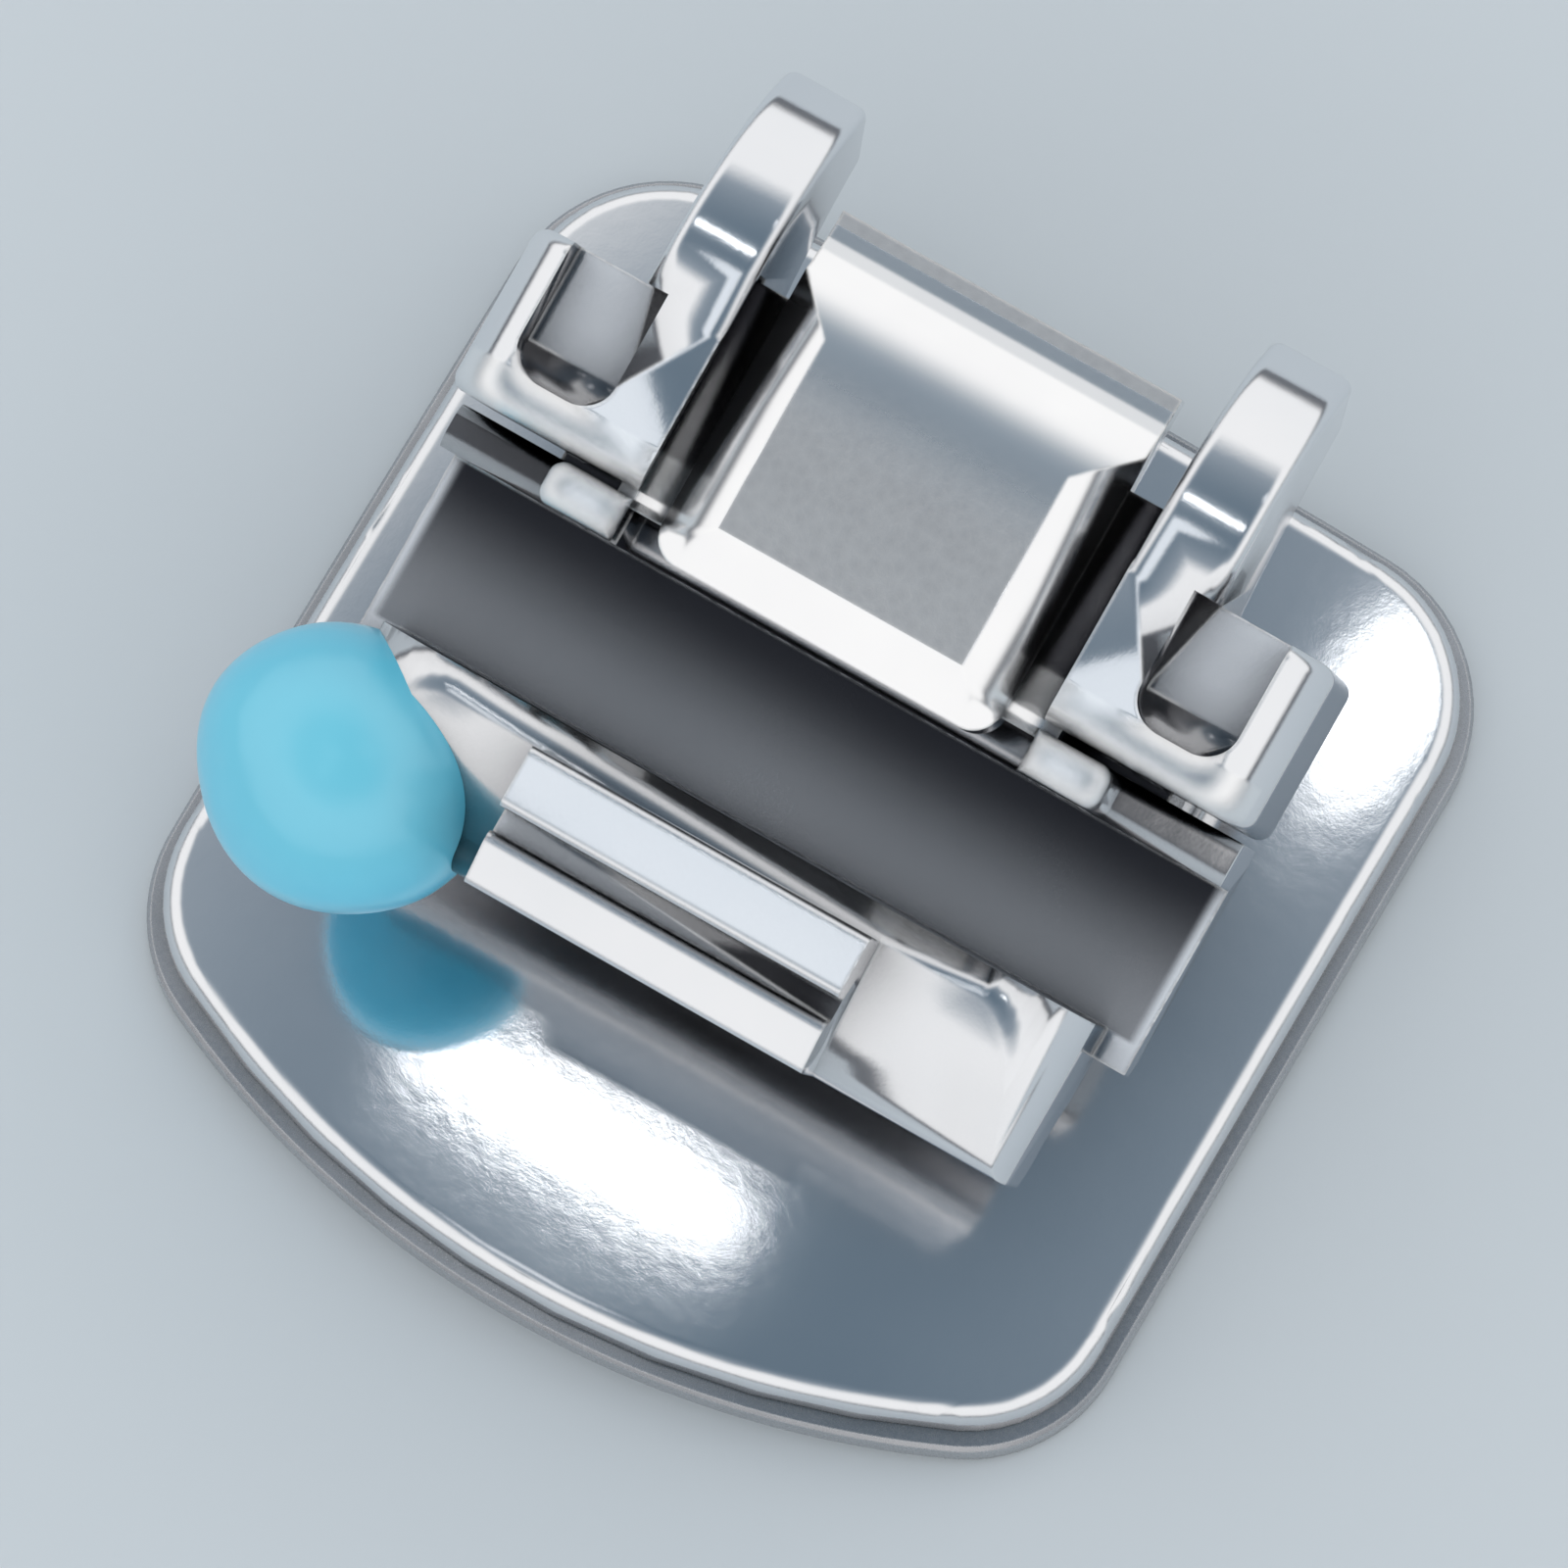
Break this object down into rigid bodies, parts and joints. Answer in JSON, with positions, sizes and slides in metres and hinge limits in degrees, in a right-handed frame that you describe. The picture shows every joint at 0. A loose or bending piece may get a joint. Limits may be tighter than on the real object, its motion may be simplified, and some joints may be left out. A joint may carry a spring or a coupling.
{
  "type": "self-ligating orthodontic bracket",
  "caption": "Self-ligating orthodontic bracket: steel casting on a curved bonding pad, archwire slot, sliding door between the tie wings, and an enamel colour mark on one wing tip.",
  "frame": {"origin": "middle of the rim plane of the bonding pad, which the part rests on", "axes": "+X mesiodistal along the archwire slot, +Y towards the gum, +Z out of the tooth. The slot, door and wings lean 12 degrees towards -Y on the pad."},
  "size_m": [0.0036, 0.0036, 0.0026],
  "materials": {
    "cast_steel": "bright polished",
    "mesh_steel": "satin",
    "door_steel": "satin flat, bright bevels",
    "spring_alloy": "satin",
    "enamel": "glossy enamel"
  },
  "bodies": {
    "casting": {"bracket_body": "cast_steel", "bonding_mesh": "mesh_steel", "detent_spring": "spring_alloy", "colour_mark": "enamel"},
    "door": {"sliding_door": "door_steel"}
  },
  "joints": [
    {"name": "door_slide", "type": "slide", "parent": "casting", "child": "door", "axis": [0, -0.9781, -0.2079], "range_m": [0, 0.00062]}
  ]
}
